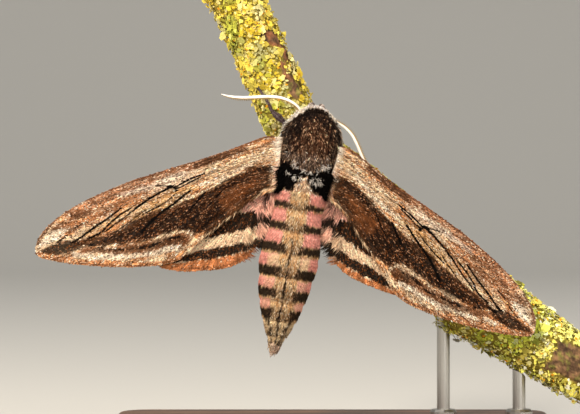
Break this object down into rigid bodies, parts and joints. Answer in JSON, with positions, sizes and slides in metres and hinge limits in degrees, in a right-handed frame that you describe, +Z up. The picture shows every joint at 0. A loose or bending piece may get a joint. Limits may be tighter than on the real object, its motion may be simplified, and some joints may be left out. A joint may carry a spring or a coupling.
{
  "type": "privet hawk moth",
  "caption": "Life-size privet hawk moth, wings half spread and head up, gripping a cut length of lichened twig on a low display stand.",
  "frame": {"origin": "middle of the underside of the stand's base, on the surface that it rests on", "axes": "+Z up; the moth's back faces -Y and its head points up, leaning to +X; +X is to its right, where the twig runs down to the stand"},
  "size_m": [0.1102, 0.046, 0.0916],
  "materials": {
    "head_fur": "greyish-pink fur, matt",
    "eye": "dark brown compound eye, glossy",
    "tongue": "brown horny tongue, satin",
    "antenna": "white scales above, yellow brown below",
    "thorax_fur": "black-brown fur with cream edges, matt",
    "abdomen_fur": "pink, black and tan hair scales, matt",
    "wing_scales": "brown, tan and black wing scales, matt",
    "hindwing_scales": "pink and cream wing scales with black bands, matt",
    "leg_fur": "dark purple-brown hair, matt",
    "lichened_bark": "rough bark under yellow-green lichen",
    "walnut_board": "oiled walnut, satin",
    "steel_rod": "brushed"
  },
  "bodies": {
    "root": {"head": "head_fur", "palp_left": "head_fur", "palp_right": "head_fur", "eye_left": "eye", "eye_right": "eye", "tongue": "tongue", "antenna_left": "antenna", "antenna_right": "antenna", "thorax": "thorax_fur", "abdomen": "abdomen_fur", "forewing_left": "wing_scales", "forewing_right": "wing_scales", "hindwing_left": "hindwing_scales", "hindwing_right": "hindwing_scales", "leg_front_left": "leg_fur", "leg_front_right": "leg_fur", "leg_mid_left": "leg_fur", "leg_mid_right": "leg_fur", "leg_hind_left": "leg_fur", "leg_hind_right": "leg_fur", "perch_twig": "lichened_bark", "stand_base": "walnut_board", "stand_rod_inner": "steel_rod", "stand_rod_outer": "steel_rod"}
  },
  "joints": []
}
